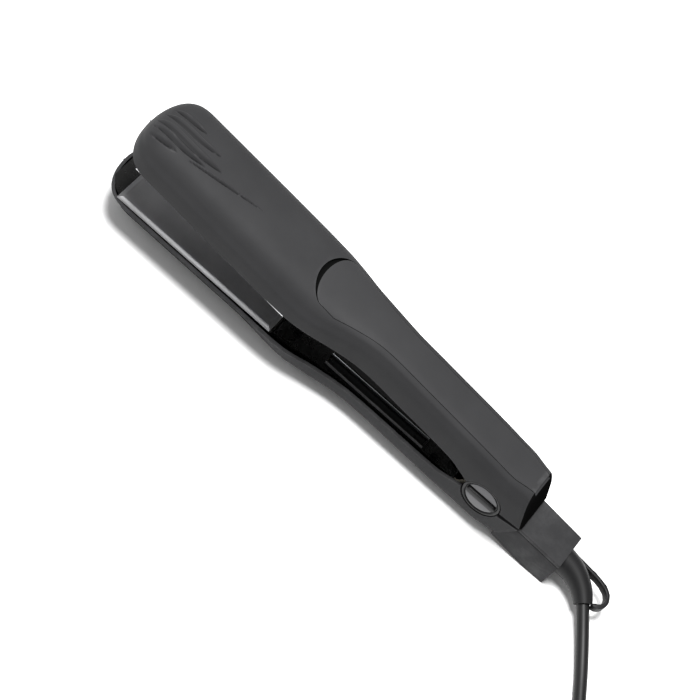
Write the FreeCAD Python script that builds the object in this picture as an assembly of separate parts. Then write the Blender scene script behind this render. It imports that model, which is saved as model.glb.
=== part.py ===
# Wide-plate hair iron: two hinged arms, floating plates, a hinge lock and a mains lead.
# Millimetres. +X runs from the tip to the lead, +Z is up, the origin is the middle of
# the box's base. Both arms are drawn closed, in an arm frame whose height h is measured
# outwards from the plane where the plates meet, then placed; the upper one stands open.
import FreeCAD, Part
import math
import os

from FreeCAD import Vector, Rotation, Placement

os.makedirs("parts", exist_ok=True)

# Driving dimensions
contactHeight = 26.0        # the plane where the plates meet, above the table
hingeX = 96.0
openAngle = 6.6
tipX = -147.0
blockEndX = 147.0
plateFrontX = -135.0
plateRearX = -35.0
plateHalf = 22.5
plateThick = 1.6
plateGap = 0.15             # from each plate to the contact plane when closed
floatTravel = 1.0
wall = 2.2
panelThick = 1.4
panelInset = 5.8            # from the widest line of an arm to the seam of its inlay
panelFrontX = -36.0
shellRearX = 121.0
pinRadius = 2.5
runningGap = 0.06
capRadius = 11.0
capWellRadius = 11.5
capFace = 14.6              # outer face of the hinge caps, from the middle plane
capDepth = 2.6
upperLug = (8.7, 11.7)      # inner and outer face of each lug, from the middle plane
lowerLug = (5.4, 8.4)
lugRadius = 7.5
cordDiameter = 6.5
cordHeight = 3.4            # axis of the lead above the table
reliefHeight = 12.5
reliefBend = 28.0
reliefTurn = 50.0
lowerLean = 0.25            # how far the lower head's sides draw in towards its belly
handleShoulder, handleCrown = 21.8, 25.8    # of the upper handle
coilCentre = (284.0, -40.0)
coilInner = 21.6
coilOuter = 47.8
coilTop = 12.4

# Stations along an arm: x, half width, rim height, shoulder height, crown height
stations = (
    (-147.0, 8.0, 4.2, 9.0, 12.0),
    (-144.5, 14.6, 3.8, 11.5, 17.0),
    (-139.5, 21.0, 3.5, 13.5, 21.0),
    (-134.0, 23.6, 3.4, 14.6, 22.8),
    (-125.0, 24.5, 3.4, 15.2, 23.6),
    (-65.0, 24.6, 3.8, 15.8, 24.0),
    (-33.0, 24.3, 4.7, 15.8, 24.0),
    (-22.0, 22.8, 5.5, 16.0, 23.6),
    (-9.0, 19.2, 5.9, 16.2, 23.0),
    (5.0, 16.2, 6.6, 16.3, 22.5),
    (17.0, 15.1, 6.8, 16.5, 22.4),
    (35.0, 15.0, 6.8, 17.0, 22.6),
    (70.0, 15.0, 6.8, 19.0, 23.8),
    (79.0, 15.0, 4.4, 19.8, 24.4),
    (86.0, 15.0, 2.3, 20.4, 24.8),
    (105.0, 14.9, 2.2, 21.4, 25.4),
    (116.0, 13.4, 2.2, 21.4, 25.4),
    (126.0, 12.0, 2.2, 21.0, 25.2),
)


def station(x):
    """Half width, rim, shoulder and crown of an arm at x."""
    for low, high in zip(stations, stations[1:]):
        if x <= high[0]:
            share = (x - low[0]) / (high[0] - low[0])
            return tuple(a + share * (b - a) for a, b in zip(low[1:], high[1:]))
    return stations[-1][1:]


def box(x0, x1, y0, y1, z0, z1):
    return Part.makeBox(x1 - x0, y1 - y0, z1 - z0, Vector(x0, y0, z0))


def mirroredBoxes(x0, x1, y0, y1, z0, z1):
    return [box(x0, x1, y0, y1, z0, z1), box(x0, x1, -y1, -y0, z0, z1)]


def rod(start, end, radius):
    start = Vector(*start)
    line = Vector(*end) - start
    return Part.makeCylinder(radius, line.Length, start, line)


def face(points):
    wire = Part.makePolygon([Vector(*p) for p in points] + [Vector(*points[0])])
    return Part.Face(wire)


def plan(points, z0, z1):
    """A plan outline raised from z0 to z1."""
    return face([(x, y, z0) for x, y in points]).extrude(Vector(0, 0, z1 - z0))


def sideProfile(points, y0, y1):
    """An outline in the middle plane, drawn out from y0 to y1."""
    return face([(x, y0, z) for x, z in points]).extrude(Vector(0, y1 - y0, 0))


def section(x, inset, rimDrop, lean):
    """One polygon across an arm, shrunk by inset, its rim lowered by rimDrop.

    The lower arm leans: its head draws in towards the belly. The other arm has the squarer, taller handle.
    """
    half, rim, shoulder, crown = station(x)
    if not lean:
        share = min(1.0, max(0.0, (x + 24) / 32))
        shoulder += share * (handleShoulder - shoulder)
        crown += share * (handleCrown - crown)
    half -= inset
    crown -= inset
    shoulder -= 0.7 * inset
    rim -= rimDrop
    side = [
        (half, rim),
        (half - 0.5, (rim + shoulder) / 2),
        (half - 1.4, shoulder),
        (half - 0.12 * half - 1.0, shoulder + 0.42 * (crown - shoulder)),
        (half - 0.22 * half - 3.2, crown - 1.7),
        (0.34 * half, crown - 0.3),
    ]
    draw = lean * min(1.0, max(0.0, -x / 50.0))
    side = [(y * (1 - draw * min(1.0, max(0.0, (z - 3.4) / 11.8))), z) for y, z in side]
    points = side + [(-y, z) for y, z in reversed(side)]
    return Part.makePolygon([Vector(x, y, z) for y, z in points] + [Vector(x, *points[0])])


def armBody(start, end, inset, rimDrop, lean):
    """The arm's outer form between two x values, shrunk by inset."""
    xs = [start] + [s[0] for s in stations if start < s[0] < end] + [end]
    return Part.makeLoft([section(x, inset, rimDrop, lean) for x in xs], True, True)


def rearCut(offset):
    """Everything behind the slanted rear end of an arm, moved forward by offset."""
    points = [(shellRearX - offset, 0.0), (shellRearX - 9.5 - offset, 30.0), (160.0, 30.0), (160.0, 0.0)]
    return sideProfile(points, -30.0, 30.0)


def inlayPrism(gap):
    """The plan of the handle inlay, from its rounded front step to the rear."""
    half = station(panelFrontX)[0] - panelInset - gap
    front = []
    for step in range(9):
        angle = math.radians(-90 + 22.5 * step)
        front.append((panelFrontX + gap + 9 - 9 * math.cos(angle), half * 0.92 * math.sin(angle)))
    side = []
    for x in (-22.0, -9.0, 5.0, 17.0, 60.0, 105.0, 116.0, 126.0):
        side.append((x, station(x)[0] - panelInset - gap))
    return plan(front + side + [(x, -y) for x, y in reversed(side)], 12.0, 30.0)


def armInlay(lean):
    skin = armBody(-40.0, 126.0, 0.0, 0.0, lean).cut(armBody(-41.0, 127.0, panelThick, 1.0, lean))
    return skin.common(inlayPrism(0.0)).cut(rearCut(0.0))


coverScrews = [(-24.0, 11.0), (-24.0, -11.0), (66.0, 9.0), (66.0, -9.0)]
coverLevel = ((-33.5, 3.4), (-23.0, 3.6), (-1.0, 7.8), (25.0, 8.2), (80.0, 8.2))


def coverTop(x):
    for low, high in zip(coverLevel, coverLevel[1:]):
        if x <= high[0]:
            return low[1] + (x - low[0]) / (high[0] - low[0]) * (high[1] - low[1])
    return coverLevel[-1][1]


def armShell(lugs, lean):
    """Housing of one arm in the arm frame, with hinge lugs, screw posts and the inlay's step."""
    inner = armBody(tipX + 2.4, 126.0, wall, 3.0, lean)
    shell = armBody(tipX, 126.0, 0.0, 0.0, lean).cut(rearCut(0.0)).cut(inner.cut(rearCut(wall)))
    extras = []
    for y0, y1 in (lugs, (-lugs[1], -lugs[0])):
        extras.append(rod((hingeX, y0, 0), (hingeX, y1, 0), lugRadius))
        extras.append(box(hingeX - 6, hingeX + 6, y0, y1, 2.0, 21.5))
    for x, y in coverScrews:
        extras.append(rod((x, y, coverTop(x) + 2.05), (x, y, 20.5), 2.6))
    extras.append(rod((77.0, 0, 10.5), (77.0, 0, 23.0), 5.0))
    shell = shell.fuse(extras)
    wells = [rod((hingeX, s * 11.8, 0), (hingeX, s * 20.0, 0), capWellRadius) for s in (-1, 1)]
    holes = [rod((x, y, 0), (x, y, coverTop(x) + 9), 1.2) for x, y in coverScrews]
    return shell.cut(wells).cut(holes).cut(inlayPrism(-0.05).common(armBody(-40.0, 127.0, -0.5, 0.0, lean))
                                           .cut(armBody(-41.0, 128.0, panelThick, 1.0, lean)))


def innerCover():
    """Black cover over an arm's inner side, behind the plate, with two long lipped slots."""
    wires = []
    start, end = coverLevel[0][0], coverLevel[-1][0]
    xs = [x for x, level in coverLevel] + [s[0] for s in stations if start < s[0] < end]
    for x in sorted(set(xs)):
        level = coverTop(x)
        half = station(x)[0] - wall - 1.9
        corners = [(x, -half, level), (x, half, level), (x, half, level + 2), (x, -half, level + 2)]
        wires.append(Part.makePolygon([Vector(*c) for c in corners] + [Vector(*corners[0])]))
    cover = Part.makeLoft(wires, True, True)
    for side in (-1, 1):
        y0, y1 = sorted((side * 2.4, side * 8.6))
        lip = box(-6.0, 59.0, y0 - 0.5, y1 + 0.5, 7.2, 9.0).cut(box(-5.0, 58.0, y0, y1, 0, 12))
        cover = cover.fuse(lip).cut(box(-5.0, 58.0, y0, y1, 6.0, 9.2))
    holes = [rod((x, y, 0), (x, y, 14), 1.2) for x, y in coverScrews]
    holes += [rod((x, y, 0), (x, y, coverTop(x) + 0.9), 2.4) for x, y in coverScrews]
    return cover.cut(holes).cut(rod((77.0, 0, 0), (77.0, 0, 20), 5.2))


def coverScrewSet():
    solids = []
    for x, y in coverScrews:
        top = coverTop(x) + 0.1
        screw = rod((x, y, top), (x, y, top + 0.8), 2.3).fuse(rod((x, y, top), (x, y, top + 8), 1.2))
        slot = box(x - 1.6, x + 1.6, y - 0.3, y + 0.3, top - 0.1, top + 0.4)
        solids.append(screw.cut(slot))
    return Part.makeCompound(solids)


def plateFrame(lean):
    """Heat-resistant frame that fills the head round the floating plate and carries it."""
    frame = armBody(tipX + 2.7, -34.0, wall + 0.3, 3.0, lean)
    frame = frame.common(box(tipX, 0.0, -30.0, 30.0, plateGap + plateThick + floatTravel, 9.5))
    frame = frame.cut(box(plateFrontX + 6, plateRearX - 6, -17.2, 17.2, 0, 12))
    for x in (plateFrontX + 12, plateRearX - 18):
        for y in (-19.6, 17.4):
            frame = frame.cut(box(x, x + 6, y, y + 2.2, 0, 7.0))
    return frame


def plateCushions():
    solids = []
    for x in (plateFrontX + 12, plateRearX - 18):
        for y in (-19.5, 17.5):
            solids.append(box(x + 0.2, x + 5.8, y, y + 2.0, plateGap + plateThick, 7.0))
    return Part.makeCompound(solids)


def plate():
    """Aluminium plate with bevelled edges and two rails under it."""
    slab = box(plateFrontX, plateRearX, -plateHalf, plateHalf, plateGap, plateGap + plateThick)
    top = [e for e in slab.Edges if e.BoundBox.ZMax < plateGap + 0.01]
    slab = slab.makeChamfer(0.7, top)
    under = plateGap + plateThick
    rails = mirroredBoxes(plateFrontX + 8, plateRearX - 8, 14.6, 16.2, under, under + 6)
    return slab.fuse(rails).removeSplitter()


def heater():
    return box(-119.0, -61.0, -9.0, 9.0, 2.2, 5.0)


def insulationFilm():
    outer = box(-121.0, -59.0, -9.5, 9.5, plateGap + plateThick, 5.4)
    return outer.cut(heater())


def heaterClip():
    """Spring strip that presses the heater to the plate, bent down between the rails."""
    strip = [(-14.5, 7.4), (-8.0, 5.45), (8.0, 5.45), (14.5, 7.4), (14.5, 8.0), (8.2, 6.1), (-8.2, 6.1), (-14.5, 8.0)]
    return face([(-98.0, y, z) for y, z in strip]).extrude(Vector(16, 0, 0))


def thermalFuse():
    body = rod((-56.0, 6.0, 3.9), (-46.0, 6.0, 3.9), 1.9)
    return body.fuse(rod((-58.5, 6.0, 3.9), (-43.5, 6.0, 3.9), 0.45))


def wire(points, radius):
    solid = Part.makeSphere(radius, Vector(*points[0]))
    for start, end in zip(points, points[1:]):
        solid = solid.fuse([rod(start, end, radius), Part.makeSphere(radius, Vector(*end))])
    return solid.removeSplitter()


def armLeads(rear):
    """The two insulated leads that run along an arm to its heater."""
    solids = []
    for side in (-1, 1):
        points = [(rear, side * 3.0, 13.6), (86.5, side * 3.0, 13.6), (82.0, side * 7.5, 13.4), (73.0, side * 7.5, 12.8),
                  (70.0, side * 4.0, 12.6), (-20.0, side * 4.0, 12.6), (-43.0, side * 4.0, 11.3), (-57.0, side * 4.0, 8.6)]
        solids.append(wire(points, 1.0))
    return Part.makeCompound(solids)


# The arms as they stand
def asLower(shape):
    """Arm frame to the lower arm: height is turned downwards."""
    turned = shape.mirror(Vector(0, 0, 0), Vector(0, 0, 1))
    turned.translate(Vector(0, 0, contactHeight))
    return turned


def asUpper(shape):
    """Arm frame to the upper arm, then opened about the hinge."""
    placed = shape.copy()
    placed.translate(Vector(0, 0, contactHeight))
    placed.rotate(Vector(hingeX, 0, contactHeight), Vector(0, 1, 0), openAngle)
    return placed


def writeNode(name, shape):
    shape.exportStep("parts/" + name + ".step")


# The cord block is a tapered box let into the rear end of the lower housing
blockTop = [(112.0, 24.9), (blockEndX, 21.9)]
blockBase = [(blockEndX, 0.0), (134.0, 0.0), (121.0, 2.6), (112.0, 4.4)]
lidThick = 2.6


def blockForm(grow):
    halfFront = 11.5 + grow
    halfRear = 10.7 + grow
    outline = [(112.0 - grow, blockTop[0][1] + grow)] + [(blockEndX, blockTop[1][1] + grow)]
    outline += [(x, z - grow) for x, z in blockBase[:-1]] + [(112.0 - grow, blockBase[-1][1] - grow)]
    form = sideProfile(outline, -14.0, 14.0)
    return form.common(plan([(111.0, halfFront), (blockEndX, halfRear), (blockEndX, -halfRear), (111.0, -halfFront)],
                            -2.0, 30.0))


def lidForm():
    points = [(112.0, blockTop[0][1]), (blockEndX, blockTop[1][1]), (blockEndX, blockTop[1][1] - lidThick),
              (112.0, blockTop[0][1] - lidThick)]
    return sideProfile(points, -14.0, 14.0).common(blockForm(0.0))


def cordBlockBase():
    base = blockForm(0.0).cut(lidForm())
    base = base.cut(box(114.0, 144.0, -8.6, 8.6, 6.4, 30.0))
    base = base.cut(box(136.0, 144.0, -8.6, 8.6, 3.0, 30.0))
    base = base.cut(box(111.0, 114.5, -8.0, 8.0, 6.4, 30.0))
    return base.cut(rod((140.0, 0, reliefHeight), (150.0, 0, reliefHeight), 6.0))


def cordBlockLid():
    tongue = box(115.0, 141.6, -8.4, 8.4, 17.0, 22.6).cut(box(116.5, 140.0, -6.9, 6.9, 15.0, 23.0))
    return lidForm().fuse(tongue.common(blockForm(0.0)))


def reliefPath(share):
    """Point and heading on the strain relief's axis."""
    turn = math.radians(reliefTurn * share)
    point = Vector(blockEndX + reliefBend * math.sin(turn), -reliefBend * (1 - math.cos(turn)),
                   reliefHeight - 3.0 * share * share)
    drop = -6.0 * share / (reliefBend * math.radians(reliefTurn))
    return point, Vector(math.cos(turn), -math.sin(turn), drop)


def cordRelief():
    """Tapered bending sleeve with its root in the block's rear wall, and the hanging loop."""
    wires = []
    for step in range(7):
        share = step / 6
        point, heading = reliefPath(share)
        wires.append(Part.Wire(Part.makeCircle(7.4 - 2.6 * share, point, heading)))
    sleeve = Part.makeLoft(wires, True, False)
    root = rod((142.0, 0, reliefHeight), (147.5, 0, reliefHeight), 5.9)
    flange = rod((142.0, 0, reliefHeight), (143.9, 0, reliefHeight), 6.8)
    outline = [(147.0, 8.2), (169.8, 6.2), (174.6, 4.0), (177.4, 0.4), (178.2, -3.6), (176.8, -7.6), (171.8, -10.4),
               (170.6, -7.6), (174.6, -6.2), (176.0, -3.2), (175.4, -0.2), (173.4, 2.4), (169.4, 4.2), (147.0, 6.2)]
    loop = plan(outline, 8.2, 13.4)
    return sleeve.fuse([root, flange, loop])


def roundedRoute(points):
    """Straight runs joined by tangent arcs, each as large as its runs allow."""
    points = [Vector(*p) for p in points]
    edges = []
    radii = []
    start = points[0]
    for before, corner, after in zip(points, points[1:], points[2:]):
        inward = corner - before
        outward = after - corner
        turn = inward.getAngle(outward)
        cut = 0.45 * min(inward.Length, outward.Length)
        radii.append(cut / math.tan(turn / 2))
        inward.normalize()
        outward.normalize()
        first = corner - inward * cut
        last = corner + outward * cut
        bisector = (outward - inward)
        bisector.normalize()
        radius = radii[-1]
        centre = corner + bisector * (radius / math.cos(turn / 2))
        middle = centre - bisector * radius
        edges.append(Part.LineSegment(start, first).toShape())
        edges.append(Part.Arc(first, middle, last).toShape())
        start = last
    edges.append(Part.LineSegment(start, points[-1]).toShape())
    return Part.Wire(edges), radii


def tube(name, points):
    path, radii = roundedRoute(points)
    heading = Vector(*points[1]) - Vector(*points[0])
    profile = Part.Wire(Part.makeCircle(cordDiameter / 2, Vector(*points[0]), heading))
    solid = path.makePipeShell([profile], True, True)
    expected = math.pi * (cordDiameter / 2) ** 2 * path.Length
    print(name, "radii", [round(r) for r in radii], "length", round(path.Length, 1),
          "volume ratio", round(solid.Volume / expected, 4))
    return solid


reliefEnd, reliefHeading = reliefPath(1.0)
leadRoute = [
    tuple(reliefEnd),
    (reliefEnd.x + 15.9, reliefEnd.y - 18.9, cordHeight + 0.3),
    (200.5, -58.0, cordHeight),
    (213.5, -75.0, cordHeight),
    (237.0, -83.5, cordHeight),
    (272.0, -84.0, cordHeight),
]
tailRoute = [
    (322.0, -46.0, 9.0),
    (326.5, -33.0, 12.5),
    (329.5, -20.0, 16.5),
    (324.5, -6.0, 19.0),
    (312.0, 2.0, 19.6),
    (297.0, -0.5, 19.6),
]


def cordCoil():
    ring = Part.makeCylinder(coilOuter, coilTop - 0.15, Vector(coilCentre[0], coilCentre[1], 0.15))
    ring = ring.cut(Part.makeCylinder(coilInner, 20, Vector(coilCentre[0], coilCentre[1], -1)))
    return ring.makeFillet(2.6, [e for e in ring.Edges if e.Curve.TypeId == "Part::GeomCircle"])


def plugShape():
    """Moulded two-blade plug, drawn along +X from its cord entry at the origin."""
    sleeve = Part.makeCone(4.0, 6.2, 12.0, Vector(0, 0, 0), Vector(1, 0, 0))
    grip = box(11.0, 33.0, -11.5, 11.5, -7.0, 7.0)
    grip = grip.makeFillet(3.5, [e for e in grip.Edges if abs(e.Vertexes[0].X - e.Vertexes[-1].X) > 1])
    body = sleeve.fuse(grip)
    blades = []
    for side in (-1, 1):
        y = side * 6.35
        blades.append(box(27.0, 50.0, y - 0.75, y + 0.75, -3.2, 3.2))
    return body.cut(blades), Part.makeCompound(blades)


def placePlug(shape):
    first = Vector(*tailRoute[-2])
    last = Vector(*tailRoute[-1])
    heading = math.degrees(math.atan2(last.y - first.y, last.x - first.x))
    placed = shape.copy()
    placed.Placement = Placement(last, Rotation(Vector(0, 0, 1), heading))
    return placed


def knobDisc():
    """Round lock knob on the hinge axis, with a raised grip bar along the handle."""
    y0 = -capFace
    disc = rod((hingeX, y0 + capDepth, contactHeight), (hingeX, y0, contactHeight), capRadius)
    dish = rod((hingeX, y0 + 0.9, contactHeight), (hingeX, y0 - 1, contactHeight), capRadius - 1.5)
    bar = box(hingeX - 8.8, hingeX + 8.8, y0 - 0.9, y0 + 1.0, contactHeight - 1.9, contactHeight + 1.9)
    bore = rod((hingeX, y0 + capDepth + 1, contactHeight), (hingeX, -13.35, contactHeight), pinRadius + runningGap)
    return disc.cut(dish).fuse(bar).cut(bore)


def knobPads():
    """Two lens-shaped pads set in the knob's dish, one each side of the bar."""
    solids = []
    y0 = -capFace
    for side in (-1, 1):
        ring = rod((hingeX, y0 + 0.9, contactHeight), (hingeX, y0 + 0.2, contactHeight), capRadius - 2.0)
        z0, z1 = sorted((contactHeight + side * 3.2, contactHeight + side * 12.0))
        solids.append(ring.common(box(hingeX - 12, hingeX + 12, y0, y0 + 1.0, z0, z1)))
    return Part.makeCompound(solids)


def lockCam():
    """Curved hook behind the knob that swings down over the lower arm's catch."""
    ring = rod((hingeX, -11.95, contactHeight), (hingeX, -9.4, contactHeight), 10.3)
    ring = ring.cut(rod((hingeX, -13, contactHeight), (hingeX, -8, contactHeight), 8.3))
    return ring.common(box(hingeX + 7.3, hingeX + 12, -14, 0, contactHeight - 4.0, contactHeight + 4.0))


def hingeCap():
    cap = rod((hingeX, capFace - capDepth, contactHeight), (hingeX, capFace, contactHeight), capRadius)
    dish = rod((hingeX, capFace - 0.7, contactHeight), (hingeX, capFace + 1, contactHeight), capRadius - 1.8)
    return cap.cut(dish).cut(rod((hingeX, 10, contactHeight), (hingeX, 13.4, contactHeight), pinRadius))


def openingSpring():
    """Compression spring between the two arms, just ahead of the hinge."""
    bottom = contactHeight - 10.5
    height = 20.8
    turns = 7
    coil = Part.makeHelix(height / turns, height, 3.4)
    profile = Part.Wire(Part.makeCircle(0.55, Vector(3.4, 0, 0), Vector(0, 1, 0.15)))
    spring = Part.Wire(coil).makePipeShell([profile], True, True)
    spring.translate(Vector(77.0, 0, bottom + 0.7))
    return spring


# A slide switch and a power light on the outer face of the lower handle
switchX = 25.0
switchTravel = 7.0
lightX = 52.0


def switchBody():
    shell = box(switchX - 9, switchX + 16, -4.2, 4.2, 14.2, 20.0)
    return shell.cut(box(switchX - 6, switchX + 13, -2.9, 2.9, 17.4, 21.0))


def switchSlider():
    foot = box(switchX - 5.5, switchX + 4.5, -2.6, 2.6, 17.7, 19.8)
    stem = box(switchX - 3.0, switchX + 2.0, -1.7, 1.7, 19.0, 23.4)
    ribs = [box(switchX - 3.0 + 1.6 * i, switchX - 2.4 + 1.6 * i, -1.7, 1.7, 23.3, 23.8) for i in range(4)]
    return foot.fuse([stem] + ribs)


def lightBoard():
    return box(lightX - 8, lightX + 8, -4.5, 4.5, 16.6, 17.8)


def lightLens():
    return rod((lightX, 0, 18.0), (lightX, 0, 23.2), 1.8).fuse(rod((lightX, 0, 18.0), (lightX, 0, 19.0), 2.6))


def switchOpenings(grow):
    slot = box(switchX - 3.6 - grow, switchX + 2.6 + switchTravel + grow, -2.0 - grow, 2.0 + grow, 19.9, 30.0)
    return [slot, rod((lightX, 0, 19.1), (lightX, 0, 30.0), 1.85 + grow)]


def makeLowerArm():
    openings = switchOpenings(0.0)
    housing = asLower(armShell(lowerLug, lowerLean).cut(openings).cut([box(switchX - 9.4, switchX + 16.4, -4.6, 4.6, 12, 20.1),
                                                           rod((lightX, 0, 17.9), (lightX, 0, 20.1), 2.7)]))
    blockHole = blockForm(0.12)
    pinHole = rod((hingeX, -14, contactHeight), (hingeX, 14, contactHeight), pinRadius)
    writeNode("lower_housing", housing.cut([blockHole, pinHole]))
    writeNode("lower_handle_panel", asLower(armInlay(lowerLean).cut(openings)).cut(blockHole))
    writeNode("lower_inner_cover", asLower(innerCover()))
    writeNode("lower_cover_screws", asLower(coverScrewSet()))
    writeNode("lower_plate_frame", asLower(plateFrame(lowerLean)))
    writeNode("lower_plate_cushions", asLower(plateCushions()))
    writeNode("power_leads", asLower(armLeads(109.0)))
    writeNode("switch_body", asLower(switchBody()))
    writeNode("switch_slider", asLower(switchSlider()))
    writeNode("light_board", asLower(lightBoard()))
    writeNode("light_lens", asLower(lightLens()))


def makeUpperArm():
    housing = armShell(upperLug, 0.0)
    bore = rod((hingeX, -14, 0), (hingeX, 14, 0), pinRadius + runningGap)
    writeNode("upper_housing", asUpper(housing.cut(bore)))
    writeNode("upper_handle_panel", asUpper(armInlay(0.0)))
    writeNode("upper_inner_cover", asUpper(innerCover()))
    writeNode("upper_cover_screws", asUpper(coverScrewSet()))
    writeNode("upper_plate_frame", asUpper(plateFrame(0.0)))
    writeNode("upper_plate_cushions", asUpper(plateCushions()))
    writeNode("upper_leads", asUpper(armLeads(88.0)))


def makePlates():
    makers = (("plate", plate), ("heater", heater), ("insulation_film", insulationFilm),
              ("heater_clip", heaterClip), ("thermal_fuse", thermalFuse))
    for name, maker in makers:
        writeNode("lower_" + name, asLower(maker()))
        writeNode("upper_" + name, asUpper(maker()))


def makeHinge():
    pin = rod((hingeX, -13.3, contactHeight), (hingeX, 13.3, contactHeight), pinRadius)
    writeNode("hinge_pin", pin)
    writeNode("hinge_cap", hingeCap())
    writeNode("lock_knob", knobDisc())
    writeNode("lock_knob_pads", knobPads())
    writeNode("lock_cam", lockCam())
    writeNode("opening_spring", openingSpring())


def makeLead():
    plugBody, plugBlades = plugShape()
    writeNode("cord_block_base", cordBlockBase())
    writeNode("cord_block_lid", cordBlockLid())
    clamp = box(124.0, 131.0, -7.6, 7.6, 9.0, 15.6).cut(rod((120, 0, reliefHeight - 1), (136, 0, reliefHeight - 1), 3.1))
    writeNode("cord_clamp", clamp)
    writeNode("cord_relief", cordRelief())
    writeNode("cord", tube("cord", leadRoute))
    writeNode("cord_tail", tube("cord_tail", tailRoute))
    writeNode("cord_coil", cordCoil())
    writeNode("plug_body", placePlug(plugBody))
    writeNode("plug_blades", placePlug(plugBlades))


makeLowerArm()
makeUpperArm()
makePlates()
makeHinge()
makeLead()
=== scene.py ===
# Wide-plate hair iron standing half open, with its mains lead coiled beside it.
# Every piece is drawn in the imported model's frame: metres, +X to the lead, +Z up.
import math

import bmesh
import bpy
from mathutils import Matrix, Vector


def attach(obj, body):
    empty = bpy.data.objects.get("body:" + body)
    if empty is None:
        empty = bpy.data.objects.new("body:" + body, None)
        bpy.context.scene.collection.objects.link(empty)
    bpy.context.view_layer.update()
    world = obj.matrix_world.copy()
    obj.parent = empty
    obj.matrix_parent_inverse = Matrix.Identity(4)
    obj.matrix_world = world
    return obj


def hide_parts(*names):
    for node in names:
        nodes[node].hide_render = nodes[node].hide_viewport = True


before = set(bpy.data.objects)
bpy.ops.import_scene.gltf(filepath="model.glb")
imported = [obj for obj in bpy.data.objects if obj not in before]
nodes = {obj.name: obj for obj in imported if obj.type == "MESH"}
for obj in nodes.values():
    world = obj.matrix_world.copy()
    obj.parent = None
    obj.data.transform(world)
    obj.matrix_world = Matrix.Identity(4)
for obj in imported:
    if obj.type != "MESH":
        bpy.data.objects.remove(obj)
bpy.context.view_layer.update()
mm = 0.001
scene = bpy.context.scene


# camera
view = {
    "centre": (-35.0, 0.0, 26.0),    # mm, the point that the camera distance is measured from
    "azimuth": 6.35,
    "elevation": 55.39,
    "roll": 36.28,
    "distance": 1085.72,
    "lens": 113.13,
    "shift": (0.0767, -0.0673),
}


def makeCamera(v):
    azimuth, elevation, roll = (math.radians(v[k]) for k in ("azimuth", "elevation", "roll"))
    back = Vector((math.sin(azimuth) * math.cos(elevation), -math.cos(azimuth) * math.cos(elevation),
                   math.sin(elevation)))
    level = Vector((0, 0, 1)).cross(back).normalized()
    upright = back.cross(level)
    right = math.cos(roll) * level + math.sin(roll) * upright
    up = -math.sin(roll) * level + math.cos(roll) * upright
    turn = Matrix((right, up, back)).transposed().to_4x4()
    data = bpy.data.cameras.new("camera")
    data.lens = v["lens"]
    data.sensor_width = 36
    data.shift_x, data.shift_y = v["shift"]
    data.clip_start, data.clip_end = 0.05, 20
    camera = bpy.data.objects.new("camera", data)
    camera.matrix_world = Matrix.Translation((Vector(v["centre"]) + back * v["distance"]) * mm) @ turn
    scene.collection.objects.link(camera)
    scene.camera = camera


makeCamera(view)
print("camera set")


# materials
def colour(code):
    parts = [int(code[i:i + 2], 16) / 255 for i in (1, 3, 5)]
    return tuple(p / 12.92 if p <= 0.04045 else ((p + 0.055) / 1.055) ** 2.4 for p in parts) + (1.0,)


def addNode(tree, kind, values=None, links=None, **settings):
    made = tree.nodes.new(kind)
    for name, value in settings.items():
        setattr(made, name, value)
    for socket, value in (values or {}).items():
        made.inputs[socket].default_value = value
    for socket, source in (links or {}).items():
        tree.links.new(source, made.inputs[socket])
    return made


def startMaterial(name, **values):
    material = bpy.data.materials.new(name)
    material.use_nodes = True
    tree = material.node_tree
    shader = tree.nodes["Principled BSDF"]
    for socket, value in values.items():
        shader.inputs[socket.replace("_", " ")].default_value = value
    place = addNode(tree, "ShaderNodeTexCoord").outputs["Object"]
    return material, tree, shader, place


def ramp(tree, factor, stops):
    made = addNode(tree, "ShaderNodeValToRGB", links={"Fac": factor})
    line = made.color_ramp
    while len(line.elements) < len(stops):
        line.elements.new(0.5)
    for element, (place, value) in zip(line.elements, stops):
        element.position = place
        element.color = colour(value) if isinstance(value, str) else (value, value, value, 1)
    return made.outputs["Color"]


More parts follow.
